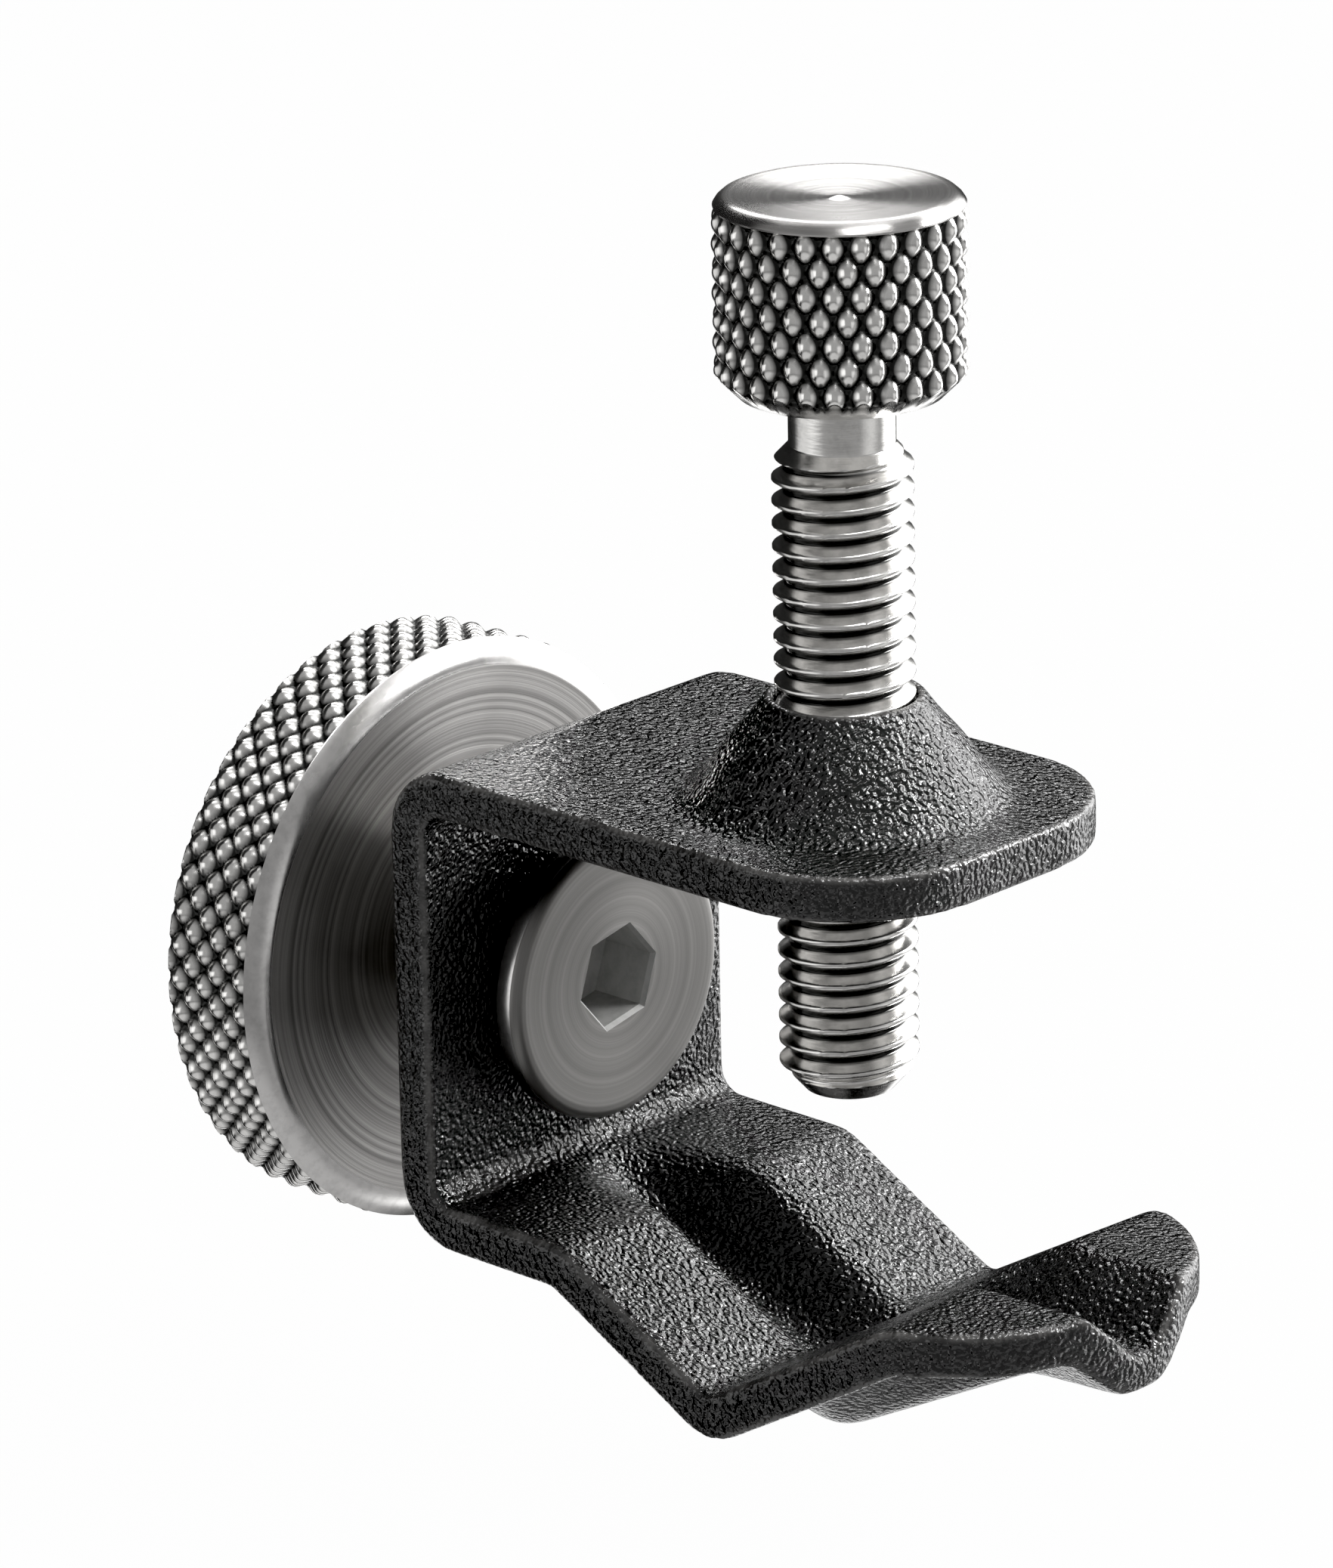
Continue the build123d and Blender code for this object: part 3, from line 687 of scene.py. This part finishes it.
# -------------------------------------------------------------------- stud ---
def socket_cutter(face_x):
    """Hexagonal prism with a flared mouth and a pointed bottom."""
    across_flats = 6.35
    corner_r = across_flats / 2 / math.cos(math.pi / 6)
    turn = 11       # degrees
    # (x, scale of the hexagon)
    stations = [(face_x + 0.5, 1.16), (face_x + 0.02, 1.075),
                (face_x - 0.34, 1.0), (face_x - 4.6, 1.0)]
    mesh = bpy.data.meshes.new("socket_cut")
    with editing(mesh) as bm:
        loops = []
        for x, scale in stations:
            loop = []
            for k in range(6):
                angle = math.radians(turn + 60 * k)
                loop.append(bm.verts.new((x * MM, corner_r * scale * math.cos(angle) * MM,
                                          corner_r * scale * math.sin(angle) * MM)))
            loops.append(loop)
        for a, b in zip(loops, loops[1:]):
            for k in range(6):
                following = (k + 1) % 6
                bm.faces.new((a[k], a[following], b[following], b[k]))
        bm.faces.new(list(reversed(loops[0])))
        point = bm.verts.new(((face_x - 5.9) * MM, 0, 0))
        for k in range(6):
            bm.faces.new((loops[-1][k], loops[-1][(k + 1) % 6], point))
        bmesh.ops.recalc_face_normals(bm, faces=bm.faces)
    return link_object("socket_cut", mesh)


def build_stud():
    tip_x, face_x = float(STUD_LOW[0]), float(STUD_HIGH[0])
    thread_end = 10.1
    neck_r = 4.5
    rim_x = face_x - 1.9                        # where the cone meets the rim
    cone_x = rim_x - (STUD_R - THREAD_R)        # 45 degree cone under the head
    socket_from = 16.6                          # socket faces lie beyond this x

    def limit_at(x):
        if x < tip_x + 1.0:
            return THREAD_R - 1.0 + (x - tip_x)
        if 0.02 < x < 0.68:     # narrow groove round the thread
            return 4.3
        return THREAD_R

    # (radius, x): neck, cone, rounded rim, then the flat face inwards
    head = [(neck_r, thread_end + 0.1), (neck_r, cone_x - 0.15), (THREAD_R, cone_x),
            (STUD_R - 0.12, rim_x - 0.1), (STUD_R, rim_x + 0.1), (STUD_R, face_x - 0.62),
            (STUD_R - 0.08, face_x - 0.35), (STUD_R - 0.34, face_x - 0.09),
            (STUD_R - 0.62, face_x), (STUD_R - 1.1, face_x)]
    head += [(radius, face_x) for radius in np.arange(STUD_R - 1.8, 4.2, -0.7)]
    obj = turned_part("stud_screw_body", round_stud, [],
                      thread_relief(round_stud, tip_x, thread_end, limit_at), head,
                      end_centres=((tip_x, 0, 0), (face_x, 0, 0)))

    cutter = socket_cutter(face_x)
    socket = obj.modifiers.new("socket", "BOOLEAN")
    socket.operation = "DIFFERENCE"
    socket.solver = "EXACT"
    socket.object = cutter
    mesh = apply_modifiers(obj)
    bpy.data.objects.remove(cutter)

    mesh.materials.clear()
    for material in (STUD_PLATING, STUD_FACE, SOCKET):
        mesh.materials.append(material)
    shade_smooth(mesh)
    for face in mesh.polygons:
        centre = face.center * 1000
        radius = math.hypot(centre.y, centre.z)
        wall = centre.x > face_x - 7 and radius < 3.75 and abs(face.normal.x) < 0.9
        bottom = centre.x < face_x - 2.0 and radius < 3.6
        if centre.x > socket_from and (wall or bottom):
            face.material_index = 2
        elif centre.x > face_x - 0.7 and radius > 3.0:
            face.material_index = 1
    sharpen(mesh, 32)
    register(obj, "stud_screw", "frame")


build_bracket()
build_screw()
build_head()
build_disc()
build_stud()

# pieces that keep their own mesh
for piece, material in (("lock_washer", ZINC), ("jam_nut", ZINC),
                        ("friction_washer", RUBBER), ("thrust_tip", TIP_METAL)):
    piece_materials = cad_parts[piece].data.materials
    piece_materials.clear()
    piece_materials.append(material)


# ------------------------------------------------------------------- stage ---
def build_floor():
    mesh = bpy.data.meshes.new("floor")
    with editing(mesh) as bm:
        bmesh.ops.create_grid(bm, x_segments=8, y_segments=8, size=4.0)
        for vert in bm.verts:
            vert.co.z = FLOOR_Z
    floor = link_object("floor", mesh)
    mesh.materials.append(pale_floor())
    floor.visible_glossy = False


build_floor()

# ------------------------------------------------------------------ camera ---
# The view's own axes; BACK points from the clamp towards the camera.
AZIMUTH, ELEVATION, ROLL = (math.radians(angle) for angle in (43.422, 19.001, -1.115))
BACK = Vector((math.sin(AZIMUTH) * math.cos(ELEVATION),
               -math.cos(AZIMUTH) * math.cos(ELEVATION), math.sin(ELEVATION)))
LEVEL_RIGHT = Vector((math.cos(AZIMUTH), math.sin(AZIMUTH), 0))
LEVEL_UP = BACK.cross(LEVEL_RIGHT)
RIGHT = LEVEL_RIGHT * math.cos(ROLL) + LEVEL_UP * math.sin(ROLL)
UP = -LEVEL_RIGHT * math.sin(ROLL) + LEVEL_UP * math.cos(ROLL)
CAMERA_PLACE = Vector((0.39076, -0.38219, 0.19653))


def build_camera():
    data = bpy.data.cameras.new("camera")
    camera = link_object("camera", data)
    data.sensor_width = 36.0
    data.lens = 185.974265
    data.clip_start = 0.01
    data.clip_end = 50
    turn = Matrix((RIGHT, UP, BACK)).transposed().to_4x4()
    camera.matrix_world = Matrix.Translation(CAMERA_PLACE) @ turn
    scene.camera = camera


build_camera()

# ------------------------------------------------------------------ lights ---
LIGHT_TARGET = Vector((0.036, 0, 0.015))

# name, (right, up, back) from the target, width, height, brightness of the face
SOFTBOXES = [
    ("key_right", (0.43, 0.36, -0.03), 0.20, 0.20, 16.0),
    ("key_low", (0.48, 0.25, 0.05), 0.16, 0.13, 26.0),
    ("front_up", (0.12, 0.42, 0.30), 0.28, 0.10, 12.0),
    ("overhead", (0.00, 0.52, 0.02), 0.46, 0.18, 1.4),
    ("top_back", (-0.02, 0.49, -0.30), 0.30, 0.16, 7.6),
]

for name, (right, up, back), width, height, radiance in SOFTBOXES:
    data = bpy.data.lights.new(name, "AREA")
    data.shape = "RECTANGLE"
    data.size = width
    data.size_y = height
    data.energy = radiance * math.pi * width * height
    light = link_object(name, data)
    light.location = LIGHT_TARGET + RIGHT * right + UP * up + BACK * back
    light.rotation_mode = "QUATERNION"
    light.rotation_quaternion = (LIGHT_TARGET - light.location).to_track_quat("-Z", "Y")

# ------------------------------------------------------------------- world ---
# Studio surroundings painted by direction: each card has a level and the windows that
# bound it, as (view axis, card absent here, card full here).
SKY_BASE = 0.025
SKY_CARDS = [
    # grey card round the camera
    (0.34, [("back", 0.02, 0.25), ("up", -0.80, -0.50)]),
    # bright wall, right
    (3.2, [("right", 0.30, 0.45), ("up", -0.30, -0.06), ("back", -0.08, -0.20),
           ("back", -0.94, -0.86)]),
    # its upper part
    (0.32, [("right", 0.10, 0.40), ("up", 0.30, 0.60), ("back", 0.10, -0.20),
            ("back", -0.94, -0.86)]),
    # ceiling
    (0.30, [("up", 0.35, 0.65), ("right", -0.30, 0.0), ("back", -0.94, -0.86)]),
    # pale card, left
    (0.8, [("right", -0.60, -0.80), ("up", -0.55, -0.35), ("up", 0.20, 0.02),
           ("back", -0.55, -0.30)]),
    # table top
    (0.6, [("up", -0.60, -0.85)]),
    # low card, right
    (0.40, [("right", 0.55, 0.85), ("up", 0.10, -0.15)]),
    # table edge, right
    (2.0, [("right", 0.40, 0.60), ("up", -0.26, -0.42), ("back", -0.25, -0.40)]),
    # white paper behind
    (1.6, [("back", -0.80, -0.93), ("up", -0.10, -0.25)]),
]


def sky_card(graph, axes, level, windows):
    for axis, absent, full in windows:
        window = graph.new("ShaderNodeMapRange", {
            "Value": axes[axis], "From Min": min(absent, full), "From Max": max(absent, full),
        }, interpolation_type="SMOOTHSTEP").outputs["Result"]
        if absent > full:
            window = graph.subtract(1.0, window)
        level = graph.multiply(window, level)
    return level


def build_world():
    """The cards light the scene; the camera itself sees plain white."""
    world = bpy.data.worlds.new("world")
    scene.world = world
    world.use_nodes = True
    graph = Graph(world.node_tree)
    aim = graph.new("ShaderNodeTexCoord").outputs["Generated"]
    axes = {name: graph.vector_math("DOT_PRODUCT", aim, tuple(axis)).outputs["Value"]
            for name, axis in (("right", RIGHT), ("up", UP), ("back", BACK))}
    cards = [sky_card(graph, axes, *card) for card in SKY_CARDS]
    level = cards[0]
    for card in cards[1:]:
        level = graph.add(level, card)
    level = graph.add(level, SKY_BASE)

    grey = graph.new("ShaderNodeCombineXYZ", {0: level, 1: level, 2: level}).outputs[0]
    surroundings = graph.find("BACKGROUND")
    graph.feed(surroundings.inputs["Color"], grey)
    surroundings.inputs["Strength"].default_value = 1.0
    white = graph.new("ShaderNodeBackground", {"Color": (1, 1, 1), "Strength": 1.0})
    shader = graph.mix_shaders(graph.camera_ray(), surroundings.outputs[0], white.outputs[0])
    graph.feed(graph.find("OUTPUT_WORLD").inputs["Surface"], shader)


build_world()

# -------------------------------------------------------------------- view ---
view = scene.view_settings
view.view_transform = "Standard"
view.look = "None"
view.exposure = 0.0
view.use_curve_mapping = True
view.curve_mapping.black_level = (0.010, 0.010, 0.010)
view.curve_mapping.white_level = (1.0, 1.0, 1.0)
view.curve_mapping.update()
